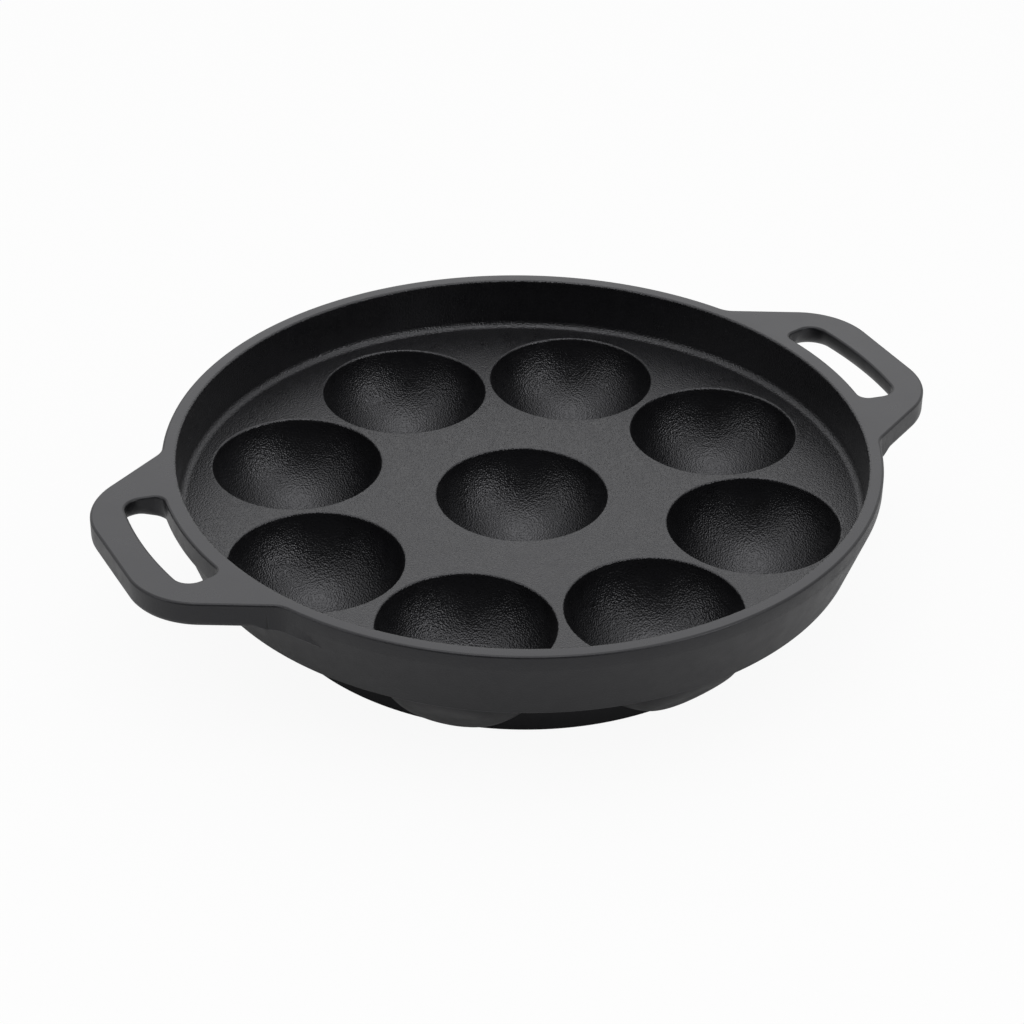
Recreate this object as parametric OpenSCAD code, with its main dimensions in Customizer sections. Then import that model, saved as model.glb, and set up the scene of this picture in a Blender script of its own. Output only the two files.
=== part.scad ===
// Paniyaram pan: one cast-iron casting with nine round-bottomed cups, two side handles and a base ring.
// Millimetres. X runs along the handles, Z is up, and the origin is the centre of the base ring's underside.

/* [Rim and wall] */
// Outside diameter of the rim
rim_d = 230; // [222:1:250]
// Width of the rim's flat top, from its outside edge to the bowl
rim_w = 4.7; // [3.5:0.1:6]
// Radius of the small round on the rim's edges
rim_round = 0.8; // [0.4:0.1:1.5]
// Height of the upright band at the top of the wall
band_h = 5; // [3:0.5:7]
// Height of the outer wall, from the rim's top to the underside of the floor
wall_h = 25.6; // [23:0.2:30]
// Slope of the wall below the band, measured from upright (degrees)
wall_slope = 19.5; // [14:0.5:22]

/* [Floor and cups] */
// Depth of the flat floor below the rim's top
bowl_depth = 18.2; // [14:0.2:20]
// Radius where the floor turns up into the wall
floor_fillet = 4; // [2:0.5:6]
// Number of cups in the ring round the centre cup
cup_count = 8; // [5:1:8]
// Diameter of a cup's mouth, which is half a ball deep
cup_d = 55.1; // [48:0.5:56]
// Distance from the foot of the wall to the mouths of the ring cups
cup_gap = 7.05; // [5:0.05:8.5]
// Turn of the ring of cups, measured from the handles' line (degrees)
cup_turn = 4.6; // [0:0.2:22.4]
// Thickness of a cup's wall
cup_wall = 3.7; // [3:0.1:5]
// Slope of the face that trims the cups' outsides below the wall, measured from upright (degrees)
cup_trim_slope = 40.5; // [34:0.5:44]
// Radius of the round on a cup's lip
lip_round = 0.7; // [0.4:0.1:0.8]

/* [Base ring] */
// Outside diameter of the base ring at the surface that it stands on
foot_d = 168.8; // [150:0.2:172]
// Width of the base ring's flat underside
foot_w = 5; // [4:0.5:8]
// Draft of the base ring's two sides (degrees)
foot_draft = 2; // [1:0.5:4]
// Distance that the base ring stands below the cups
foot_drop = 0.3; // [0.2:0.1:2]

/* [Handles] */
// Distance that a handle reaches out from the rim
handle_reach = 24.5; // [22:0.5:30]
// Thickness of a handle
handle_t = 8.6; // [7:0.2:11]
// Angle between a handle's flank and the handles' line (degrees)
flank_angle = 28.4; // [24:0.2:34]
// Half the width of a handle, where the line of its flank meets its outer end
flank_half_w = 28.9; // [26:0.1:32]
// Radius of a handle's outer corners
corner_r = 25; // [16:0.5:32]
// Radius of the blend between a handle's flank and the rim
root_r = 8; // [5:0.5:12]
// Radius of the blend between a handle's underside and the wall
under_r = 5; // [3:0.5:6]

/* [Handle slots] */
// Distance from the rim's outside edge to the slot
slot_gap = 1; // [0.6:0.1:3]
// Width of a slot, measured along the handle
slot_w = 12.9; // [11.5:0.1:14]
// Length of a slot along its middle
slot_l = 49.8; // [42:0.2:54]
// Radius of a slot's two corners beside the rim
slot_in_r = 3.5; // [2:0.2:4]
// Radius of a slot's two corners beside the grip
slot_out_r = 5.5; // [4:0.2:5.8]

/* [Hidden] */
$fn = 96;

// A small overrun, so that a cutting tool passes right through
over = 1;
// How far a blend bites into the faces that it joins, so that it crosses them and doesn't only touch
bite = 0.03;

rim_r = rim_d / 2;
bowl_r = rim_r - rim_w;
wall_low_r = rim_r - (wall_h - band_h) * tan(wall_slope);
cup_r = cup_d / 2;
cup_out_r = cup_r + cup_wall;
cup_circle_r = bowl_r - cup_gap - cup_r;
rim_z = bowl_depth + cup_out_r + foot_drop;
floor_z = rim_z - bowl_depth;
under_z = rim_z - wall_h;
foot_r = foot_d / 2;

// A handle's flank is the line of points p with flank_n * p = flank_c
end_x = rim_r + handle_reach;
flank_n = [sin(flank_angle), cos(flank_angle)];
flank_c = flank_n * [end_x, flank_half_w];
function flank_y(x, inset = 0) = (flank_c - inset - flank_n[0] * x) / flank_n[1];

// Centre of a handle's outer corner
corner_c = [end_x - corner_r, flank_y(end_x - corner_r, corner_r)];

// Centre of the concave blend that touches both the rim's circle and the flank's line
root_reach = rim_r + root_r - bite;
root_turn = 90 - flank_angle - acos((flank_c + root_r) / root_reach);
root_c = root_reach * [cos(root_turn), sin(root_turn)];

// Slot sides are arcs round the pan's axis, and its ends are straight between the corner rounds
slot_in = rim_r + slot_gap;
slot_out = slot_in + slot_w;
slot_half_turn = slot_l / 2 / ((slot_in + slot_out) / 2) * 180 / PI;
slot_in_turn = slot_half_turn - asin(slot_in_r / (slot_in + slot_in_r));
slot_out_turn = slot_half_turn - asin(slot_out_r / (slot_out - slot_out_r));

// A direction in the plane, at an angle from the handles' line
function ray(turn) = [cos(turn), sin(turn)];

// Half of the bowl's outside: the band, the sloped wall and the flat underside
module wall_profile() {
    difference() {
        polygon([
            [0, under_z],
            [wall_low_r, under_z],
            [rim_r, rim_z - band_h],
            [rim_r, rim_z],
            [0, rim_z]
        ]);
        translate([rim_r - rim_round, rim_z - rim_round])
            difference() {
                square(rim_round + over);
                circle(rim_round);
            }
    }
}

// Half of the bowl's hollow, with a round between its floor and its wall
module bowl_profile() {
    difference() {
        union() {
            translate([0, floor_z])
                square([bowl_r, bowl_depth + over]);
            translate([bowl_r - over, rim_z - rim_round])
                square([rim_round + over, rim_round + over]);
        }
        translate([bowl_r - floor_fillet, floor_z])
            difference() {
                square([floor_fillet, floor_fillet]);
                translate([0, floor_fillet])
                    circle(floor_fillet);
            }
        translate([bowl_r + rim_round, rim_z - rim_round])
            circle(rim_round);
    }
}

// Half of the base ring, from its flat underside up into the floor
module foot_profile() {
    lean = (floor_z + under_z) / 2 * tan(foot_draft);
    polygon([
        [foot_r - foot_w, 0],
        [foot_r, 0],
        [foot_r + lean, (floor_z + under_z) / 2],
        [foot_r - foot_w - lean, (floor_z + under_z) / 2]
    ]);
}

// Places its children at the centre of each cup, on the floor
module at_cups() {
    translate([0, 0, floor_z])
        children();
    for (i = [0 : cup_count - 1])
        rotate(cup_turn + i * 360 / cup_count)
            translate([cup_circle_r, 0, floor_z])
                children();
}

// The cups' outsides, kept within a cone that narrows downwards from the wall's lower edge
module cup_shells() {
    intersection() {
        at_cups()
            sphere(cup_out_r);
        rotate_extrude()
            polygon([
                [0, 0],
                [wall_low_r - under_z * tan(cup_trim_slope), 0],
                [wall_low_r, under_z],
                [wall_low_r, (floor_z + under_z) / 2],
                [0, (floor_z + under_z) / 2]
            ]);
    }
}

// Half of a cup's hollow: a half ball below the floor, with its lip rounded off
module cup_profile() {
    intersection() {
        circle(cup_r);
        translate([0, -cup_r])
            square([cup_r, cup_r]);
    }
    difference() {
        translate([0, -lip_round])
            square([cup_r + lip_round, lip_round + bite]);
        translate([cup_r + lip_round, -lip_round])
            circle(lip_round);
    }
}

// Outline of one handle in plan, with blends where it leaves the rim
module handle_outline() {
    root_x = bowl_r * cos(root_turn);
    corner_out = corner_c + corner_r * flank_n;
    for (side = [0, 1])
        mirror([0, side]) {
            polygon([
                [root_x, 0],
                [end_x, 0],
                [end_x, corner_c[1]],
                corner_c,
                corner_out,
                [root_x, flank_y(root_x)]
            ]);
            translate(corner_c)
                circle(corner_r);
            difference() {
                polygon([
                    bowl_r * ray(root_turn),
                    root_c,
                    root_c - root_r * flank_n,
                    [root_x, flank_y(root_x)]
                ]);
                translate(root_c)
                    circle(root_r);
            }
        }
}

// Outline of one slot in plan
module slot_outline() {
    in_c = (slot_in + slot_in_r) * ray(slot_in_turn);
    out_c = (slot_out - slot_out_r) * ray(slot_out_turn);
    end_n = ray(slot_half_turn + 90);
    intersection() {
        difference() {
            circle(slot_out);
            circle(slot_in);
        }
        for (side = [0, 1])
            mirror([0, side])
                polygon([
                    [0, 0],
                    slot_out * 2 * ray(0),
                    slot_out * 2 * ray(slot_out_turn),
                    out_c,
                    in_c
                ]);
    }
    for (side = [0, 1])
        mirror([0, side]) {
            translate(in_c)
                circle(slot_in_r);
            translate(out_c)
                circle(slot_out_r);
            polygon([
                in_c,
                in_c + slot_in_r * end_n,
                out_c + slot_out_r * end_n,
                out_c
            ]);
        }
}

// Half of the concave blend between the wall and a handle's underside
module under_blend_profile() {
    face_z = rim_z - handle_t;
    blend_z = face_z - under_r + bite;
    drop = rim_z - band_h - blend_z;
    blend_x = rim_r + (under_r - bite - drop * sin(wall_slope)) / cos(wall_slope);
    touch = [blend_x, blend_z] - under_r * [cos(wall_slope), -sin(wall_slope)];
    difference() {
        polygon([
            touch - [over, 0],
            touch,
            [blend_x, blend_z],
            [blend_x, face_z + over],
            [touch[0] - over, face_z + over]
        ]);
        translate([blend_x, blend_z])
            circle(under_r);
    }
}

// One handle, flush with the rim's top, before its slot is cut
module handle() {
    translate([0, 0, rim_z - handle_t])
        linear_extrude(handle_t)
            handle_outline();
    intersection() {
        rotate_extrude()
            under_blend_profile();
        translate([0, 0, under_z])
            linear_extrude(wall_h - over)
                handle_outline();
    }
}

// The whole casting
module pan() {
    color([0.11, 0.11, 0.12])
        difference() {
            union() {
                rotate_extrude()
                    wall_profile();
                rotate_extrude()
                    foot_profile();
                cup_shells();
                for (side = [0, 180])
                    rotate(side)
                        handle();
            }
            rotate_extrude()
                bowl_profile();
            at_cups()
                rotate_extrude()
                    cup_profile();
            for (side = [0, 180])
                rotate(side)
                    translate([0, 0, under_z])
                        linear_extrude(wall_h + over)
                            slot_outline();
        }
}

pan();
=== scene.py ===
"""Paniyaram pan: one black cast-iron casting with nine cups, two slotted handles and a base ring.

Laid out as an add-on with one operator for each region of the casting, one for its finish and one for the
stage. Everything is in metres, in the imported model's own frame: X along the handles, Z up, and the origin at
the centre of the base ring's underside.
"""
import math

import bpy
from bpy.props import FloatProperty, FloatVectorProperty, IntProperty, PointerProperty
from mathutils import Matrix, Vector
from mathutils.kdtree import KDTree


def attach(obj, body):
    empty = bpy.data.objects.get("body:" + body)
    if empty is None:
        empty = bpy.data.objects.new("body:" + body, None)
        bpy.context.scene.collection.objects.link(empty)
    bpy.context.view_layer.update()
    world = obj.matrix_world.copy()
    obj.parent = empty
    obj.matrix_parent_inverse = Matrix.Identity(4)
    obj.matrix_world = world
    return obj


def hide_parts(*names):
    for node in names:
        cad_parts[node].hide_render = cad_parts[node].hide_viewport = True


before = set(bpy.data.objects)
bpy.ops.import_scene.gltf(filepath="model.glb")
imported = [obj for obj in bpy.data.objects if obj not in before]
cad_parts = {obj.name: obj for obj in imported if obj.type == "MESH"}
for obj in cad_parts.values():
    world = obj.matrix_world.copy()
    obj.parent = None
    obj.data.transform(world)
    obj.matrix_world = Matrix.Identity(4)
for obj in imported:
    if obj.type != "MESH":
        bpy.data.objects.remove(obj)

bl_info = {
    "name": "Paniyaram Pan",
    "version": (1, 0, 0),
    "blender": (4, 5, 0),
    "location": "View3D > Sidebar > Pan",
    "description": "Models a cast-iron paniyaram pan and its studio",
    "category": "Object",
}

MM = 0.001
CAD_NODE = "pan"
CASTING = "pan_casting"

# A small distance, below which drawn points are merged and places count as the same
TINY = 1e-5
# Distance below which the points of a finished mesh are merged
MERGE = 2e-6
# How far a cutting tool, or a piece that is joined to another, runs past the faces that it crosses
OVERRUN = 1 * MM
# Number of steps round the whole rim, round a cup and in a round on a handle's or a slot's edge
RIM_STEPS = 256
CUP_STEPS = 96
ROUND_STEPS = 6
# Where the flat caps of the bowl's spun section begin, as a share of the radius
CAP_START = 0.9
# How far up or down the normal of a cutting tool's flat end points, at least
LEVEL = 0.9


def length(name, millimetres, description):
    """A length property, written in millimetres and kept in metres."""
    return FloatProperty(name=name, description=description, default=millimetres * MM, min=0, precision=5,
                         unit="LENGTH")


def angle(name, degrees, description):
    """An angle property, written in degrees and kept in radians."""
    return FloatProperty(name=name, description=description, default=math.radians(degrees), subtype="ANGLE")


def colour(name, value, description):
    """A colour property in linear light."""
    return FloatVectorProperty(name=name, description=description, default=value, size=3, min=0, max=1,
                               subtype="COLOR")


class PanSizes(bpy.types.PropertyGroup):
    """Sizes of the casting."""
    rim_d: length("Rim diameter", 230, "Outside diameter of the rim")
    rim_w: length("Rim width", 4.7, "Width of the rim's flat top")
    rim_round: length("Rim round", 0.8, "Radius of the round on the upper edges of the rim and the handles")
    band_h: length("Band height", 5, "Height of the upright band at the top of the wall")
    wall_h: length("Wall height", 25.6, "From the rim's top to the underside of the floor")
    wall_slope: angle("Wall slope", 19.5, "Slope of the wall below the band, from upright")
    skirt_round: length("Skirt round", 0.7, "Radius of the round on the wall's lower edge")
    bowl_depth: length("Bowl depth", 18.2, "Depth of the floor below the rim's top")
    floor_fillet: length("Floor fillet", 2.5, "Radius where the floor turns up into the wall")
    cup_count: IntProperty(name="Ring cups", default=8, min=3,
                           description="Number of cups round the centre cup")
    cup_d: length("Cup diameter", 55.1, "Diameter of a cup's mouth")
    cup_circle_d: length("Cup circle", 151.4, "Diameter of the circle that the ring cups' centres lie on")
    cup_turn: angle("Cup turn", 4.6, "Turn of the ring of cups from the handles' line")
    cup_wall: length("Cup wall", 3.7, "Thickness of a cup's wall")
    cup_trim_slope: angle("Cup trim slope", 40.5, "Slope of the cone that trims the cups, from upright")
    cup_trim_soft: length("Cup trim blend", 1.2, "Reach of the change from a cup's ball to the cone")
    lip_round: length("Lip round", 0.7, "Radius of the round on a cup's lip")
    foot_d: length("Base ring diameter", 168.8, "Outside diameter of the base ring's underside")
    foot_w: length("Base ring width", 5, "Width of the base ring's flat underside")
    foot_draft: angle("Base ring draft", 2, "Draft of the base ring's two sides")
    foot_drop: length("Base ring drop", 0.3, "Distance that the base ring stands below the cups")
    foot_round: length("Base ring round", 0.5, "Radius of the round on the base ring's lower edges")


class HandleSizes(bpy.types.PropertyGroup):
    """Sizes of the two handles and their slots."""
    reach: length("Reach", 24.5, "Distance that a handle reaches out from the rim")
    thickness: length("Thickness", 8.6, "Thickness of a handle")
    flank_angle: angle("Flank angle", 28.4, "Angle between a handle's flank and the handles' line")
    flank_half_w: length("Half width", 28.9, "Half the width where the flank's line meets the outer end")
    corner_r: length("Corner radius", 25, "Radius of a handle's outer corners")
    root_r: length("Root radius", 8, "Radius of the blend between a flank and the rim")
    under_r: length("Underside blend", 5, "Radius of the blend between a handle's underside and the wall")
    fade: length("Root fade", 12, "Length over which the root's blend fades into the wall")
    low_round: length("Lower round", 2.4, "Radius of the round on a handle's lower edge")
    slot_gap: length("Slot gap", 1, "Distance from the rim's outside to the slot")
    slot_w: length("Slot width", 12.9, "Width of a slot along the handle")
    slot_l: length("Slot length", 49.8, "Length of a slot along its middle")
    slot_in_r: length("Inner slot corner", 3.5, "Radius of a slot's corners beside the rim")
    slot_out_r: length("Outer slot corner", 5.5, "Radius of a slot's corners beside the grip")
    slot_round: length("Slot round", 2.2, "Radius of the round on the slot's lower edge beside the rim")
    grip_round: length("Grip round", 6.5, "Radius of the round on the slot's lower edge beside the grip")


class PanFinish(bpy.types.PropertyGroup):
    """Colours and grain of the iron, and the studio."""
    cast_colour: colour("Cast iron", (0.004, 0.004, 0.0047), "Seasoned cast skin, inside and outside")
    ground_colour: colour("Ground iron", (0.007, 0.007, 0.0082), "Seasoned tops of the rim and the handles")
    peel_size: length("Peel size", 0.6, "Size of the pebbles in the cast skin")
    peel_height: length("Peel height", 0.12, "Height of the pebbles in the bowl and the cups")
    skin_height: length("Skin height", 0.02, "Height of the pebbles on the outer wall and the underside")
    grain_size: length("Grain size", 0.5, "Size of the fine grain on the ground faces")
    grain_height: length("Grain height", 0.012, "Height of the fine grain on the ground faces")
    floor_colour: colour("Floor", (0.65, 0.65, 0.65), "Studio floor")
    key_power: FloatProperty(name="Lamp power", default=7.5, min=0, unit="POWER",
                             description="Power of the soft top lamp, of which each side lamp takes a share")


def sizes():
    """The casting's sizes, as the sidebar holds them."""
    return bpy.context.scene.pan_sizes


def handle_sizes():
    """The handles' sizes."""
    return bpy.context.scene.pan_handles


def finish_values():
    """The iron's colours and grain, and the studio's values."""
    return bpy.context.scene.pan_finish


# Heights and radii that follow from the sizes

def rim_radius():
    return sizes().rim_d / 2


def bowl_radius():
    return rim_radius() - sizes().rim_w


def shell_radius():
    """Outside radius of a cup's ball."""
    return sizes().cup_d / 2 + sizes().cup_wall


def rim_top():
    return sizes().bowl_depth + shell_radius() + sizes().foot_drop


def floor_top():
    return rim_top() - sizes().bowl_depth


def floor_under():
    return rim_top() - sizes().wall_h


def floor_middle():
    """A height inside the floor plate, where what joins it from below ends."""
    return (floor_top() + floor_under()) / 2


def wall_low_radius():
    """Radius of the wall's lower edge."""
    return rim_radius() - (sizes().wall_h - sizes().band_h) * math.tan(sizes().wall_slope)


# Drawing and modelling helpers

def deselect():
    """Leaves edit mode and deselects everything."""
    if bpy.context.object and bpy.context.object.mode != "OBJECT":
        bpy.ops.object.mode_set(mode="OBJECT")
    bpy.ops.object.select_all(action="DESELECT")


def activate(piece):
    """Makes a piece the only one that is selected, and the active one."""
    deselect()
    piece.select_set(True)
    bpy.context.view_layer.objects.active = piece


def ray(turn, reach=1.0):
    """A vector in plan, turned from the handles' line, and of a length."""
    return Vector((math.cos(turn), math.sin(turn))) * reach


def arc(centre, radius, start, end, steps):
    """Points of an arc in a plane, from one direction to another in degrees."""
    turns = [math.radians(start + (end - start) * k / steps) for k in range(steps + 1)]
    return [(centre[0] + radius * math.cos(t), centre[1] + radius * math.sin(t)) for t in turns]


def line(start, end, steps):
    """Points between two ends of a straight line, without the ends."""
    return [tuple(Vector(start).lerp(Vector(end), k / steps)) for k in range(1, steps)]


def ease(value, low, high):
    """A share that rises smoothly from 0 to 1 between two values."""
    share = min(max((value - low) / (high - low), 0), 1)
    return share * share * (3 - 2 * share)


def round_corner(before, corner, after, radius, steps):
    """Points of the arc that rounds a corner between two straight lines."""
    back = (Vector(before) - Vector(corner)).normalized()
    on = (Vector(after) - Vector(corner)).normalized()
    half = back.angle(on) / 2
    centre = Vector(corner) + (back + on).normalized() * radius / math.sin(half)
    start = Vector(corner) + back * radius / math.tan(half) - centre
    end = Vector(corner) + on * radius / math.tan(half) - centre
    turn = start.angle_signed(end)
    return [tuple(centre + Matrix.Rotation(-turn * k / steps, 2) @ start) for k in range(steps + 1)]


def draw_line(name, points):
    """A new object whose mesh is one line, drawn by extruding a vertex from point to point."""
    deselect()
    bpy.ops.mesh.primitive_plane_add(size=MM)
    drawn = bpy.context.object
    drawn.name = name
    bpy.ops.object.mode_set(mode="EDIT")
    bpy.ops.mesh.select_mode(type="VERT")
    bpy.ops.mesh.select_all(action="SELECT")
    bpy.ops.mesh.merge(type="CENTER")
    bpy.ops.transform.translate(value=points[0])
    for here, there in zip(points, points[1:]):
        step = Vector(there) - Vector(here)
        bpy.ops.mesh.extrude_region_move(TRANSFORM_OT_translate={"value": step})
    bpy.ops.object.mode_set(mode="OBJECT")
    return drawn


def remove(piece):
    """Deletes a piece that was only a tool or a pattern for others."""
    activate(piece)
    bpy.ops.object.delete()


def merge_close(piece):
    """Merges the points of a piece that lie almost on each other."""
    activate(piece)
    bpy.ops.object.mode_set(mode="EDIT")
    bpy.ops.mesh.select_all(action="SELECT")
    bpy.ops.mesh.remove_doubles(threshold=MERGE)
    bpy.ops.object.mode_set(mode="OBJECT")


def select_faces(piece, test):
    """Selects the faces of a piece that pass a test, in object mode."""
    mesh = piece.data
    for group in (mesh.vertices, mesh.edges, mesh.polygons):
        group.foreach_set("select", [False] * len(group))
    for face in mesh.polygons:
        face.select = bool(test(face))


def spin(name, profile, steps, capped=False):
    """A closed solid of revolution about Z. A profile that starts and ends off the axis gets flat caps."""
    solid = draw_line(name, [(r, 0, z) for r, z in profile])
    bpy.ops.object.mode_set(mode="EDIT")
    bpy.ops.mesh.select_all(action="SELECT")
    bpy.ops.mesh.spin(steps=steps, angle=math.tau, center=(0, 0, 0), axis=(0, 0, 1))
    bpy.ops.mesh.select_all(action="SELECT")
    bpy.ops.mesh.remove_doubles(threshold=TINY)
    if capped:
        bpy.ops.mesh.select_all(action="DESELECT")
        bpy.ops.mesh.select_non_manifold(extend=False, use_boundary=True, use_wire=False,
                                         use_multi_face=False, use_non_contiguous=False, use_verts=False)
        bpy.ops.mesh.edge_face_add()
    bpy.ops.mesh.select_all(action="SELECT")
    bpy.ops.mesh.normals_make_consistent(inside=False)
    bpy.ops.object.mode_set(mode="OBJECT")
    return solid


def prism(name, outline, low, high, steps=1):
    """A closed outline in plan, filled and extruded from one height to another in equal steps."""
    solid = draw_line(name, [(x, y, low) for x, y in outline + outline[:1]])
    bpy.ops.object.mode_set(mode="EDIT")
    bpy.ops.mesh.select_all(action="SELECT")
    bpy.ops.mesh.remove_doubles(threshold=TINY)
    bpy.ops.mesh.edge_face_add()
    for _ in range(steps):
        bpy.ops.mesh.extrude_region_move(TRANSFORM_OT_translate={"value": (0, 0, (high - low) / steps)})
    bpy.ops.mesh.select_all(action="SELECT")
    bpy.ops.mesh.normals_make_consistent(inside=False)
    bpy.ops.object.mode_set(mode="OBJECT")
    return solid


def extend(piece, test, height):
    """Extrudes the faces that pass a test straight up or down."""
    activate(piece)
    select_faces(piece, test)
    bpy.ops.object.mode_set(mode="EDIT")
    bpy.ops.mesh.select_mode(type="FACE")
    bpy.ops.mesh.extrude_region_move(TRANSFORM_OT_translate={"value": (0, 0, height)})
    bpy.ops.object.mode_set(mode="OBJECT")


def split_at_handles_line(piece):
    """Splits the faces that cross the handles' line, so that none of them goes round a slot."""
    activate(piece)
    bpy.ops.object.mode_set(mode="EDIT")
    bpy.ops.mesh.select_all(action="SELECT")
    bpy.ops.mesh.bisect(plane_co=(0, 0, 0), plane_no=(0, 1, 0))
    bpy.ops.object.mode_set(mode="OBJECT")


def moved_in(outline, rounds):
    """How far each point of an anticlockwise outline moves when its edge gets a round of its own radius.
    Beside a point with no round, the direction comes from the side that has one."""
    moves = []
    for k, (point, radius) in enumerate(zip(outline, rounds)):
        after = (k + 1) % len(outline)
        step = Vector((0, 0))
        if rounds[k - 1]:
            step += (Vector(point) - Vector(outline[k - 1])).normalized()
        if rounds[after]:
            step += (Vector(outline[after]) - Vector(point)).normalized()
        moves.append(Vector((-step.y, step.x)).normalized() * radius)
    return moves


def rounded_prism(name, outline, low, high, low_rounds, high_rounds):
    """A closed outline in plan, extruded, with its own radius at each point of its lower and upper edge.
    A negative radius flares the edge out, as on a tool that cuts a rounded hole."""
    steps = ROUND_STEPS * 2 + 1
    solid = prism(name, outline, low, high, steps)
    low_moves, high_moves = moved_in(outline, low_rounds), moved_in(outline, high_rounds)
    tree = KDTree(len(outline))
    for k, (x, y) in enumerate(outline):
        tree.insert((x, y, 0), k)
    tree.balance()
    for vertex in solid.data.vertices:
        k = tree.find((vertex.co.x, vertex.co.y, 0))[1]
        level = round((vertex.co.z - low) / (high - low) * steps)
        at_low = level <= ROUND_STEPS
        move = low_moves[k] if at_low else high_moves[k]
        turn = math.pi / 2 * (level if at_low else steps - level) / ROUND_STEPS
        rise = move.length * (1 - math.cos(turn))
        place = Vector(outline[k]) + move * (1 - math.sin(turn))
        vertex.co = (*place, low + rise if at_low else high - rise)
    merge_close(solid)
    return solid


def copy_of(piece, place):
    """A copy with its own mesh, moved or turned by a matrix that goes into its mesh."""
    activate(piece)
    bpy.ops.object.duplicate(linked=False)
    twin = bpy.context.object
    twin.data.transform(place)
    return twin


def combine(piece, tool, operation):
    """Joins, cuts or keeps the overlap of two solids, and uses up the second."""
    activate(piece)
    modifier = piece.modifiers.new("combine", "BOOLEAN")
    modifier.operation = operation
    modifier.solver = "MANIFOLD"
    modifier.object = tool
    bpy.ops.object.modifier_apply(modifier=modifier.name)
    remove(tool)
    activate(piece)
    return piece


def cup_places():
    """Where each cup's centre lies in plan, the centre cup first."""
    s = sizes()
    places = [Vector((0, 0, 0))]
    for k in range(s.cup_count):
        turn = s.cup_turn + math.tau * k / s.cup_count
        places.append(ray(turn, s.cup_circle_d / 2).to_3d())
    return places


# The bowl

def bowl_profile():
    """Section of the bowl from its floor over the rim and down to its underside."""
    s = sizes()
    outer, inner, low = rim_radius(), bowl_radius(), wall_low_radius()
    top, bed, under = rim_top(), floor_top(), floor_under()
    kink = (outer, top - s.band_h)
    skirt = (low, under)
    points = [(inner * CAP_START, bed)]
    points += arc((inner - s.floor_fillet, bed + s.floor_fillet), s.floor_fillet, -90, 0, steps=10)
    points += arc((inner + s.rim_round, top - s.rim_round), s.rim_round, 180, 90, steps=5)
    points += arc((outer - s.rim_round, top - s.rim_round), s.rim_round, 90, 0, steps=5)
    points += [kink]
    points += round_corner(kink, skirt, (0, under), s.skirt_round, steps=4)
    points += [(low * CAP_START, under)]
    return points


class PAN_OT_bowl(bpy.types.Operator):
    """Spin the bowl with its floor, wall and rim"""
    bl_idname = "pan.bowl"
    bl_label = "Bowl"

    def execute(self, context):
        spin(CASTING, bowl_profile(), RIM_STEPS, capped=True)
        return {"FINISHED"}


# The base ring

def foot_profile():
    """Section of the base ring, closed, from its rounded lower edges up into the floor."""
    s = sizes()
    outer, inner, top = s.foot_d / 2, s.foot_d / 2 - s.foot_w, floor_middle()
    lean = top * math.tan(s.foot_draft)
    points = [(inner - lean, top)]
    points += round_corner((inner - lean, top), (inner, 0), (outer, 0), s.foot_round, steps=3)
    points += round_corner((inner, 0), (outer, 0), (outer + lean, top), s.foot_round, steps=3)
    points += [(outer + lean, top), (inner - lean, top)]
    return points


class PAN_OT_base_ring(bpy.types.Operator):
    """Spin the base ring and join it to the bowl"""
    bl_idname = "pan.base_ring"
    bl_label = "Base Ring"

    def execute(self, context):
        ring = spin("base_ring", foot_profile(), RIM_STEPS)
        combine(bpy.data.objects[CASTING], ring, "UNION")
        return {"FINISHED"}


# The cups

def shell_profile():
    """Section of a cup's outside, from its lowest point up into the floor."""
    rise = math.degrees(math.asin((floor_top() - floor_middle()) / shell_radius()))
    return arc((0, floor_top()), shell_radius(), -90, -rise, steps=24) + [(0, floor_middle())]


def keep_in_cone(shell):
    """Draws a cup's outside in to the cone that the ring of cups lies within, with a soft change between."""
    slope, soft = sizes().cup_trim_slope, sizes().cup_trim_soft
    for vertex in shell.data.vertices:
        reach = math.hypot(vertex.co.x, vertex.co.y)
        past = (reach - wall_low_radius()) * math.cos(slope)
        past += (floor_under() - vertex.co.z) * math.sin(slope)
        if past > -soft:
            pull = past if past > soft else (past + soft) ** 2 / (4 * soft)
            vertex.co.x -= pull * math.cos(slope) * vertex.co.x / reach
            vertex.co.y -= pull * math.cos(slope) * vertex.co.y / reach
            vertex.co.z += pull * math.sin(slope)


def hollow_profile():
    """Section of a cup's hollow, from its lowest point up and out over its rounded lip."""
    s = sizes()
    radius, bed, lip = s.cup_d / 2, floor_top(), s.lip_round
    dip = math.degrees(math.asin(lip / radius))
    points = arc((0, bed), radius, -90, -dip, steps=30)[:-1]
    points += arc((radius + lip, bed - lip), lip, 180, 90, steps=5)
    points += [(radius + lip, bed + OVERRUN), (0, bed + OVERRUN)]
    return points


class PAN_OT_cup_shells(bpy.types.Operator):
    """Spin one cup's outside, copy it to each cup, keep the ring within its cone and join them to the bowl"""
    bl_idname = "pan.cup_shells"
    bl_label = "Cup Shells"

    def execute(self, context):
        shell = spin("cup_shell", shell_profile(), CUP_STEPS)
        shells = None
        for place in cup_places():
            twin = copy_of(shell, Matrix.Translation(place))
            keep_in_cone(twin)
            shells = combine(shells, twin, "UNION") if shells else twin
        remove(shell)
        combine(bpy.data.objects[CASTING], shells, "UNION")
        return {"FINISHED"}


class PAN_OT_cup_hollows(bpy.types.Operator):
    """Spin one cup's hollow and cut it into the floor at each cup"""
    bl_idname = "pan.cup_hollows"
    bl_label = "Cup Hollows"

    def execute(self, context):
        hollow = spin("cup_hollow", hollow_profile(), CUP_STEPS)
        for place in cup_places():
            combine(bpy.data.objects[CASTING], copy_of(hollow, Matrix.Translation(place)), "DIFFERENCE")
        remove(hollow)
        return {"FINISHED"}


# The handles

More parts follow.
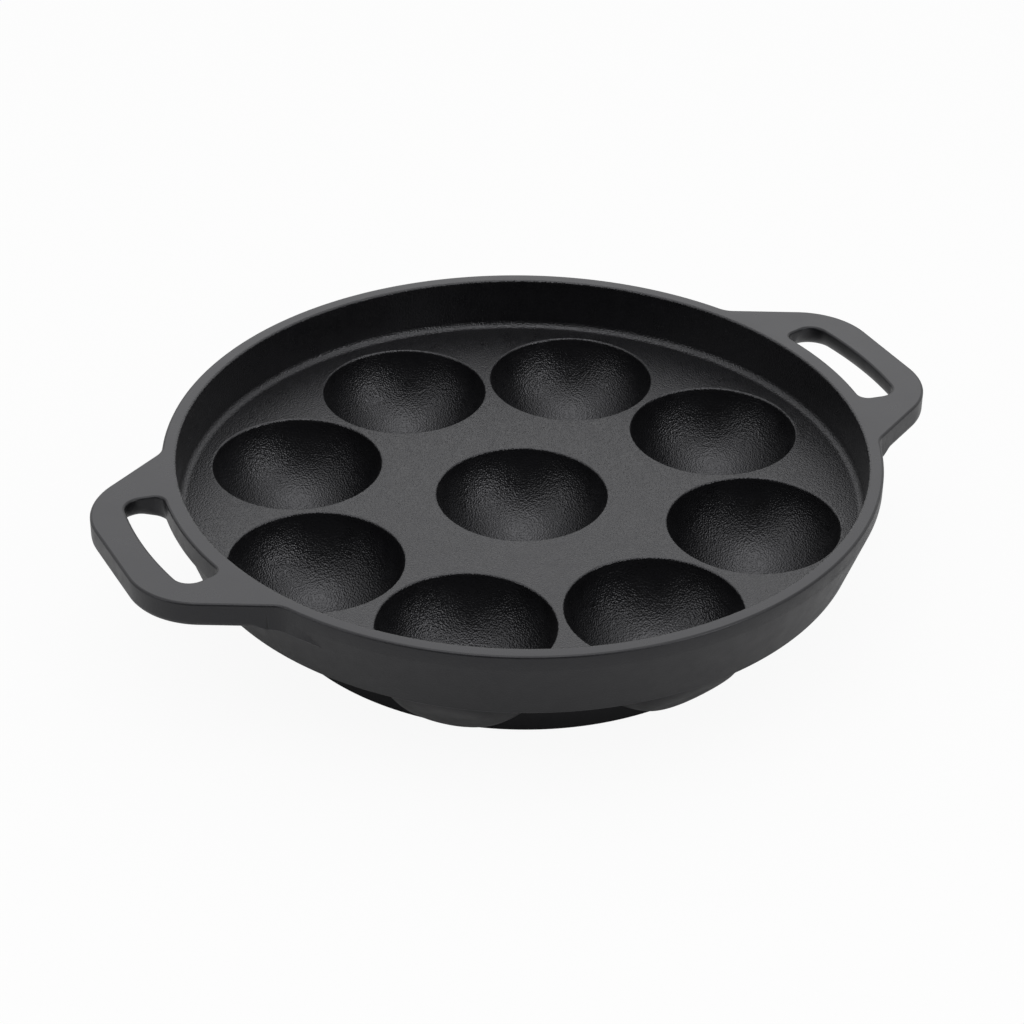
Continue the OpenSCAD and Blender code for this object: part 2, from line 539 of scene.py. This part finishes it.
# Places across the rim's flat top, as shares of its width from the bowl: where the blend at a handle's root
# has faded into the wall, where the round on the handle's upper edge begins, and where its outline closes
FADE_END = 0.45
TOP_ROUND_START = 0.3
OUTLINE_END = 0.2
# Number of points in the fade
FADE_STEPS = 12
# Share of a full lower round below which a handle's edge stays sharp
SHARP_BELOW = 0.05
# Share of the slot's width over which the round beside the rim grows to the one beside the grip
GRIP_REACH = 0.6
# Radius that the blend below a handle is drawn with, against its own, so that it crosses the faces it joins
UNDER_BITE = 1.01


def across_rim(share):
    """A radius across the rim's flat top, from its inside edge at 0 to its outside edge at 1."""
    return bowl_radius() + sizes().rim_w * share


def mirrored(half):
    """A closed outline from its half at positive y, which runs from the outer end inwards."""
    other = [(x, -y) for x, y in reversed(half)]
    return [tuple(p) for p in half] + [tuple(p) for p in other]


def handle_outline():
    """Outline of the right handle in plan, with blends where it leaves the rim and fades into the wall.
    A flank is the line of points whose part along the normal equals across."""
    h = handle_sizes()
    end_x = rim_radius() + h.reach
    normal = Vector((math.sin(h.flank_angle), math.cos(h.flank_angle)))
    across = normal.dot(Vector((end_x, h.flank_half_w)))
    corner_x = end_x - h.corner_r
    corner = Vector((corner_x, (across - h.corner_r - normal.x * corner_x) / normal.y))
    root_reach = rim_radius() + h.root_r
    root_turn = math.pi / 2 - h.flank_angle - math.acos((across + h.root_r) / root_reach)
    root = ray(root_turn, root_reach)
    flank = 90 - math.degrees(h.flank_angle)
    fade_turn, fade_depth = h.fade / rim_radius(), across_rim(FADE_END) - rim_radius()
    half = arc(corner, h.corner_r, 0, flank, steps=24)
    blend = arc(root, h.root_r, flank + 180, math.degrees(root_turn) + 180, steps=24)
    half += line(half[-1], blend[0], steps=60) + blend
    for k in range(1, FADE_STEPS + 1):
        share = k / FADE_STEPS
        half.append(ray(root_turn + fade_turn * share, rim_radius() + fade_depth * share ** 2))
    half += arc((0, 0), across_rim(OUTLINE_END), math.degrees(root_turn + fade_turn), 0, steps=12)[:-1]
    return mirrored(half)


def slot_outline():
    """Outline of the right slot in plan: two arcs about the pan's axis, with rounded corners."""
    h = handle_sizes()
    near = rim_radius() + h.slot_gap
    far = near + h.slot_w
    half_turn = h.slot_l / (near + far)
    near_turn = half_turn - math.asin(h.slot_in_r / (near + h.slot_in_r))
    far_turn = half_turn - math.asin(h.slot_out_r / (far - h.slot_out_r))
    side = math.degrees(half_turn) + 90
    near_centre, far_centre = ray(near_turn, near + h.slot_in_r), ray(far_turn, far - h.slot_out_r)
    near_corner = arc(near_centre, h.slot_in_r, side, math.degrees(near_turn) + 180, steps=8)
    half = arc((0, 0), far, 0, math.degrees(far_turn), steps=20)[1:-1]
    half += arc(far_centre, h.slot_out_r, math.degrees(far_turn), side, steps=12)
    half += line(half[-1], near_corner[0], steps=5) + near_corner
    half += arc((0, 0), near, math.degrees(near_turn), 0, steps=20)[1:-1]
    return mirrored(half)


def under_blend_profile():
    """Section of the concave blend between the wall and a handle's underside."""
    s, h = sizes(), handle_sizes()
    face = rim_top() - h.thickness
    centre_z = face - h.under_r
    drop = rim_top() - s.band_h - centre_z
    centre_x = rim_radius() + (h.under_r - drop * math.sin(s.wall_slope)) / math.cos(s.wall_slope)
    slope = math.degrees(s.wall_slope)
    points = arc((centre_x, centre_z), h.under_r * UNDER_BITE, 90, 180 - slope, steps=10)
    inner, upper = points[-1][0] - OVERRUN, face + OVERRUN
    return points + [(inner, points[-1][1]), (inner, upper), (centre_x, upper), points[0]]


def build_handle():
    """The right handle: a slab with rounded edges, the blend below it, and its slot with rounded edges.
    The lower rounds fade where the blend with the wall begins."""
    s, h = sizes(), handle_sizes()
    top, face, under = rim_top(), rim_top() - h.thickness, floor_under()
    outline, slot = handle_outline(), slot_outline()
    blend_reach = under_blend_profile()[0][0]
    near = rim_radius() + h.slot_gap
    reaches = [math.hypot(x, y) for x, y in outline]
    shares = [ease(reach, blend_reach, blend_reach + h.root_r / 2) for reach in reaches]
    low_rounds = [h.low_round * share if share > SHARP_BELOW else 0 for share in shares]
    high_rounds = [s.rim_round if reach > across_rim(TOP_ROUND_START) else 0 for reach in reaches]
    handle = rounded_prism("handle", outline, face, top, low_rounds, high_rounds)
    low_outline = [tuple(Vector(p) + move) for p, move in zip(outline, moved_in(outline, low_rounds))]
    blend = spin("under_blend", under_blend_profile(), RIM_STEPS)
    combine(blend, prism("handle_shape", low_outline, under, top), "INTERSECT")
    combine(handle, blend, "UNION")
    split_at_handles_line(handle)
    grip_shares = [ease(math.hypot(x, y), near, near + h.slot_w * GRIP_REACH) for x, y in slot]
    flares = [-(h.slot_round + (h.grip_round - h.slot_round) * share) for share in grip_shares]
    plug = rounded_prism("slot", slot, face, top, flares, [-s.rim_round] * len(slot))
    extend(plug, lambda f: f.center.z < face + TINY and f.normal.z < -LEVEL, under - face)
    extend(plug, lambda f: f.center.z > top - TINY and f.normal.z > LEVEL, OVERRUN)
    return combine(handle, plug, "DIFFERENCE")


class PAN_OT_handles(bpy.types.Operator):
    """Model one handle, copy it to the other side and join both to the rim"""
    bl_idname = "pan.handles"
    bl_label = "Handles"

    def execute(self, context):
        handle = build_handle()
        twin = copy_of(handle, Matrix.Rotation(math.pi, 4, "Z"))
        for piece in (handle, twin):
            combine(bpy.data.objects[CASTING], piece, "UNION")
        return {"FINISHED"}


# Shader node groups

# Make-up of the pebbled skin: the scales of its grit and swell against the pebbles' own, the share of each
# layer in its height, and how smooth and how scattered the pebbles are
GRIT_SCALE = 1.3
SWELL_SCALE = 0.12
PEBBLE_SHARE = -1.4
GRIT_SHARE = 0.4
SWELL_SHARE = 0.4
PEBBLE_SMOOTHNESS = 0.5
PEBBLE_RANDOMNESS = 0.8
# Scale of the broad blotches on a ground face against its grain's own
BLOTCH_SCALE = 0.04


def new_group(name, inputs, outputs):
    """A shader group with named sockets and nothing between them, and its two end nodes."""
    group = bpy.data.node_groups.new(name, "ShaderNodeTree")
    for label, kind, value in inputs:
        socket = group.interface.new_socket(name=label, in_out="INPUT", socket_type=kind)
        socket.default_value = value
    for label, kind in outputs:
        group.interface.new_socket(name=label, in_out="OUTPUT", socket_type=kind)
    return group, group.nodes.new("NodeGroupInput"), group.nodes.new("NodeGroupOutput")


def add_node(tree, kind, links=(), **values):
    """A node with its own settings and its input sockets set or linked."""
    node = tree.nodes.new(kind)
    for key, value in values.items():
        setattr(node, key, value)
    for socket, value in dict(links).items():
        if isinstance(value, bpy.types.NodeSocket):
            tree.links.new(value, node.inputs[socket])
        else:
            node.inputs[socket].default_value = value
    return node


def empty_tree(owner):
    """The node tree of a material or world, cleared."""
    owner.use_nodes = True
    owner.node_tree.nodes.clear()
    return owner.node_tree


def math_node(tree, operation, *values):
    """The result of a Math node whose inputs are numbers or sockets."""
    return add_node(tree, "ShaderNodeMath", dict(enumerate(values)), operation=operation).outputs[0]


def noise(tree, place, scale, detail):
    """The value of a noise texture, from 0 to 1."""
    inputs = {"Vector": place, "Scale": scale, "Detail": detail}
    return add_node(tree, "ShaderNodeTexNoise", inputs).outputs["Fac"]


def peel_group():
    """Pebbled skin of a sand casting: rounded pebbles, with a finer grit and a broad swell."""
    group, given, result = new_group("cast_peel", [("Size", "NodeSocketFloat", 0.001)],
                                     [("Height", "NodeSocketFloat"), ("Blotch", "NodeSocketFloat")])
    place = add_node(group, "ShaderNodeTexCoord").outputs["Object"]
    scale = math_node(group, "DIVIDE", 1.0, given.outputs["Size"])
    cells = add_node(group, "ShaderNodeTexVoronoi", {
        "Vector": place, "Scale": scale, "Smoothness": PEBBLE_SMOOTHNESS, "Randomness": PEBBLE_RANDOMNESS,
    }, feature="SMOOTH_F1")
    grit = noise(group, place, math_node(group, "MULTIPLY", scale, GRIT_SCALE), detail=2.0)
    swell = noise(group, place, math_node(group, "MULTIPLY", scale, SWELL_SCALE), detail=2.0)
    pebble_height = math_node(group, "MULTIPLY", cells.outputs["Distance"], PEBBLE_SHARE)
    grit_height = math_node(group, "MULTIPLY", grit, GRIT_SHARE)
    swell_height = math_node(group, "MULTIPLY", swell, SWELL_SHARE)
    height = math_node(group, "ADD", math_node(group, "ADD", pebble_height, grit_height), swell_height)
    group.links.new(height, result.inputs["Height"])
    group.links.new(swell, result.inputs["Blotch"])
    return group


def grain_group():
    """Fine even grain of a face that was ground and then seasoned."""
    group, given, result = new_group("ground_grain", [("Size", "NodeSocketFloat", 0.0005)],
                                     [("Height", "NodeSocketFloat"), ("Blotch", "NodeSocketFloat")])
    place = add_node(group, "ShaderNodeTexCoord").outputs["Object"]
    scale = math_node(group, "DIVIDE", 1.0, given.outputs["Size"])
    grain = noise(group, place, scale, detail=3.0)
    blotch = noise(group, place, math_node(group, "MULTIPLY", scale, BLOTCH_SCALE), detail=3.0)
    group.links.new(grain, result.inputs["Height"])
    group.links.new(blotch, result.inputs["Blotch"])
    return group


def mix_colours(tree, factor, first, second):
    """A colour between two, by a factor."""
    inputs = {"Factor": factor, "A": (*first, 1), "B": (*second, 1)}
    return add_node(tree, "ShaderNodeMix", inputs, data_type="RGBA").outputs["Result"]


# The three iron finishes

# The slightly cool cast of the iron's reflections
COOL = (0.955, 0.955, 1)
# The blotch values that the roughness runs between, and how far it runs to each side of a finish's own
BLOTCH_LOW = 0.3
BLOTCH_HIGH = 0.7
ROUGHNESS_SWING = 0.04
# A ground face is this level, and at most this far below the rim's top
GROUND_LEVEL = 0.999
GROUND_DEPTH = 0.05 * MM
# Largest angle between two faces that are shaded as one smooth surface
SMOOTH_ANGLE = math.radians(35)
# How much large faces lead the shading where they meet small ones, where 50 is evenly
LARGE_FACE_WEIGHT = 100
# Order of the three finishes in the casting's material slots
CAST, GROUND, SMOOTH = range(3)


def iron_material(name, surface, size, height, base, roughness, specular, variation):
    """Seasoned iron: a surface group drives its bump, and its broad blotches vary colour and roughness."""
    material = bpy.data.materials.new(name)
    tree = empty_tree(material)
    skin = add_node(tree, "ShaderNodeGroup", node_tree=surface)
    skin.inputs["Size"].default_value = size
    blotch, relief = skin.outputs["Blotch"], skin.outputs["Height"]
    darker = [c * (1 - variation) for c in base]
    lighter = [c * (1 + variation) for c in base]
    tint = mix_colours(tree, blotch, darker, lighter)
    rough = add_node(tree, "ShaderNodeMapRange", {
        "Value": blotch, "From Min": BLOTCH_LOW, "From Max": BLOTCH_HIGH,
        "To Min": roughness - ROUGHNESS_SWING, "To Max": roughness + ROUGHNESS_SWING,
    })
    bump = add_node(tree, "ShaderNodeBump", {"Strength": 1.0, "Distance": height, "Height": relief})
    shader = add_node(tree, "ShaderNodeBsdfPrincipled", {
        "Base Color": tint, "Roughness": rough.outputs["Result"], "Specular IOR Level": specular,
        "Specular Tint": (*COOL, 1), "Normal": bump.outputs["Normal"],
    })
    add_node(tree, "ShaderNodeOutputMaterial", {"Surface": shader.outputs["BSDF"]})
    material.diffuse_color = (*base, 1)
    return material


def is_ground(face):
    """Whether a face is part of the flat tops of the rim and the handles."""
    return face.normal.z > GROUND_LEVEL and face.center.z > rim_top() - GROUND_DEPTH


def is_inside(face):
    """Whether a face is part of the floor, the bowl's inner wall or a cup's hollow."""
    x, y, z = face.center
    if z > floor_top() - TINY:
        return math.hypot(x, y) < bowl_radius() + sizes().rim_round
    reach = min((Vector((x, y, z - floor_top())) - place).length for place in cup_places())
    return reach < sizes().cup_d / 2 + sizes().lip_round


def finish_of(face):
    """Which of the three finishes a face has."""
    if is_ground(face):
        return GROUND
    return CAST if is_inside(face) else SMOOTH


class PAN_OT_finish(bpy.types.Operator):
    """Clean the casting's mesh, shade it and give it its three iron finishes"""
    bl_idname = "pan.finish"
    bl_label = "Finish"

    def execute(self, context):
        f = finish_values()
        casting = bpy.data.objects[CASTING]
        merge_close(casting)
        peel = peel_group()
        casting.data.materials.clear()
        for material in (
                iron_material("cast_iron", peel, f.peel_size, f.peel_height, f.cast_colour,
                              roughness=0.31, specular=0.65, variation=0.15),
                iron_material("ground_iron", grain_group(), f.grain_size, f.grain_height, f.ground_colour,
                              roughness=0.3, specular=0.7, variation=0.08),
                iron_material("smooth_iron", peel, f.peel_size, f.skin_height, f.cast_colour,
                              roughness=0.4, specular=0.5, variation=0.15)):
            casting.data.materials.append(material)
        for face in casting.data.polygons:
            face.material_index = finish_of(face)
        bpy.ops.object.shade_smooth_by_angle(angle=SMOOTH_ANGLE, keep_sharp_edges=True)
        weighted = casting.modifiers.new("even_faces", "WEIGHTED_NORMAL")
        weighted.keep_sharp = True
        weighted.weight = LARGE_FACE_WEIGHT
        bpy.ops.object.modifier_apply(modifier=weighted.name)
        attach(casting, "root")
        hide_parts(CAD_NODE)
        return {"FINISHED"}


# The stage

# The camera, fitted to the edges in the photograph: its place is in metres, and its lens and sensor are in
# millimetres
CAMERA_AZIMUTH = math.radians(-27.83)
CAMERA_ELEVATION = math.radians(33.13)
CAMERA_ROLL = math.radians(0.78)
CAMERA_PLACE = (-0.35497, -0.66567, 0.51653)
CAMERA_LENS = 97.48
CAMERA_SENSOR = 36

# Diameter of the studio floor, in metres
FLOOR_D = 12
# How much of the floor's look is plain white, for the camera and for what mirrors the floor
FLOOR_SEEN = 0.93
FLOOR_MIRRORED = 0.05

# The room's light: its brightest direction leans beyond the pan and up by these parts, and its strength grows
# between two values of the dot product with that direction
ROOM_BEYOND = 0.7
ROOM_UP = 0.7
ROOM_DIM_FROM = -0.3
ROOM_BRIGHT_FROM = 0.97
ROOM_DIM = 0.02
ROOM_BRIGHT = 1.25

# Soft square lamps, all at one distance in metres: the name, azimuth and elevation in degrees, side in metres
# and share of the lamp power of each
LAMP_DISTANCE = 1.6
LAMPS = (
    ("lamp_top", -27.8, 80, 1.3, 1),
    ("lamp_right", 27.2, 27, 0.7, 0.75),
    ("lamp_left", -87.8, 27, 0.7, 0.4),
)


def toward(azimuth, elevation):
    """The direction from the pan to a camera or lamp. Azimuth 0 is the side of negative Y."""
    return Vector((math.sin(azimuth) * math.cos(elevation),
                   -math.cos(azimuth) * math.cos(elevation), math.sin(elevation)))


def add_camera():
    """The camera, at the photograph's viewing angle."""
    back = toward(CAMERA_AZIMUTH, CAMERA_ELEVATION)
    right = ray(CAMERA_AZIMUTH).to_3d()
    up = back.cross(right)
    axes = Matrix((right, up, back)).transposed() @ Matrix.Rotation(CAMERA_ROLL, 3, "Z")
    bpy.ops.object.camera_add(location=CAMERA_PLACE, rotation=axes.to_euler())
    camera = bpy.context.object
    camera.name = "camera"
    camera.data.sensor_width = CAMERA_SENSOR
    camera.data.lens = CAMERA_LENS
    bpy.context.scene.camera = camera


def seen_share(tree, camera_share, glossy_share):
    """A share for camera rays, another for glossy and transmitted rays, and none for the rest."""
    path = add_node(tree, "ShaderNodeLightPath").outputs
    glossy = math_node(tree, "MAXIMUM", path["Is Glossy Ray"], path["Is Transmission Ray"])
    glossy = math_node(tree, "MULTIPLY", glossy, glossy_share)
    camera = math_node(tree, "MULTIPLY", path["Is Camera Ray"], camera_share)
    return math_node(tree, "MAXIMUM", camera, glossy)


def add_floor():
    """A wide pale floor just below the base ring, which keeps the pan's shadow."""
    deselect()
    bpy.ops.mesh.primitive_circle_add(vertices=64, radius=FLOOR_D / 2, fill_type="NGON",
                                      location=(0, 0, -TINY))
    floor = bpy.context.object
    floor.name = "studio_floor"
    material = bpy.data.materials.new("studio_floor")
    tree = empty_tree(material)
    plain = add_node(tree, "ShaderNodeBsdfDiffuse", {"Color": (*finish_values().floor_colour, 1)})
    white = add_node(tree, "ShaderNodeEmission", {"Color": (1, 1, 1, 1), "Strength": 1.0})
    share = seen_share(tree, FLOOR_SEEN, FLOOR_MIRRORED)
    mixed = add_node(tree, "ShaderNodeMixShader", {0: share, 1: plain.outputs[0], 2: white.outputs[0]})
    add_node(tree, "ShaderNodeOutputMaterial", {"Surface": mixed.outputs[0]})
    floor.data.materials.append(material)


def add_world():
    """A room that is bright above and beyond the pan and dim behind the camera, which sees plain white."""
    world = bpy.data.worlds.new("studio")
    tree = empty_tree(world)
    bright = Vector((*ray(CAMERA_AZIMUTH + math.pi / 2, ROOM_BEYOND), ROOM_UP))
    direction = add_node(tree, "ShaderNodeTexCoord").outputs["Generated"]
    facing = add_node(tree, "ShaderNodeVectorMath", {0: direction, 1: bright}, operation="DOT_PRODUCT")
    room = add_node(tree, "ShaderNodeMapRange", {
        "Value": facing.outputs["Value"], "From Min": ROOM_DIM_FROM, "From Max": ROOM_BRIGHT_FROM,
        "To Min": ROOM_DIM, "To Max": ROOM_BRIGHT,
    })
    seen = add_node(tree, "ShaderNodeLightPath").outputs["Is Camera Ray"]
    mixed = add_node(tree, "ShaderNodeMix", {"Factor": seen, "A": room.outputs["Result"], "B": 1.0})
    strength = mixed.outputs["Result"]
    sky = add_node(tree, "ShaderNodeBackground", {"Color": (1, 1, 1, 1), "Strength": strength})
    add_node(tree, "ShaderNodeOutputWorld", {"Surface": sky.outputs["Background"]})
    bpy.context.scene.world = world


def add_lamp(name, azimuth, elevation, size, power):
    """A soft square lamp aimed at the pan from a direction in degrees."""
    back = toward(math.radians(azimuth), math.radians(elevation))
    turn = back.to_track_quat("Z", "Y").to_euler()
    bpy.ops.object.light_add(type="AREA", location=back * LAMP_DISTANCE, rotation=turn)
    lamp = bpy.context.object
    lamp.name = name
    lamp.data.shape = "SQUARE"
    lamp.data.size = size
    lamp.data.energy = power


class PAN_OT_stage(bpy.types.Operator):
    """Add the camera, the pale floor and the soft studio light"""
    bl_idname = "pan.stage"
    bl_label = "Stage"

    def execute(self, context):
        add_camera()
        add_floor()
        add_world()
        for name, azimuth, elevation, size, share in LAMPS:
            add_lamp(name, azimuth, elevation, size, finish_values().key_power * share)
        return {"FINISHED"}


class PAN_PT_panel(bpy.types.Panel):
    """The pan's operators and sizes"""
    bl_idname = "PAN_PT_panel"
    bl_label = "Paniyaram Pan"
    bl_space_type = "VIEW_3D"
    bl_region_type = "UI"
    bl_category = "Pan"

    def draw(self, context):
        for operator in OPERATORS:
            self.layout.operator(operator.bl_idname)
        for group in (context.scene.pan_sizes, context.scene.pan_handles, context.scene.pan_finish):
            for key in group.__annotations__:
                self.layout.prop(group, key)


OPERATORS = (PAN_OT_stage, PAN_OT_bowl, PAN_OT_base_ring, PAN_OT_cup_shells, PAN_OT_handles,
             PAN_OT_cup_hollows, PAN_OT_finish)
GROUPS = {"pan_sizes": PanSizes, "pan_handles": HandleSizes, "pan_finish": PanFinish}


def register():
    for item in (*GROUPS.values(), *OPERATORS, PAN_PT_panel):
        bpy.utils.register_class(item)
    for name, group in GROUPS.items():
        setattr(bpy.types.Scene, name, PointerProperty(type=group))


def unregister():
    for name in GROUPS:
        delattr(bpy.types.Scene, name)
    for item in reversed((*GROUPS.values(), *OPERATORS, PAN_PT_panel)):
        bpy.utils.unregister_class(item)


def main():
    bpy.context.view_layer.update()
    register()
    bpy.context.scene.view_settings.view_transform = "Standard"
    bpy.ops.pan.stage()
    bpy.ops.pan.bowl()
    bpy.ops.pan.base_ring()
    bpy.ops.pan.cup_shells()
    bpy.ops.pan.handles()
    bpy.ops.pan.cup_hollows()
    bpy.ops.pan.finish()


if __name__ == "__main__":
    main()
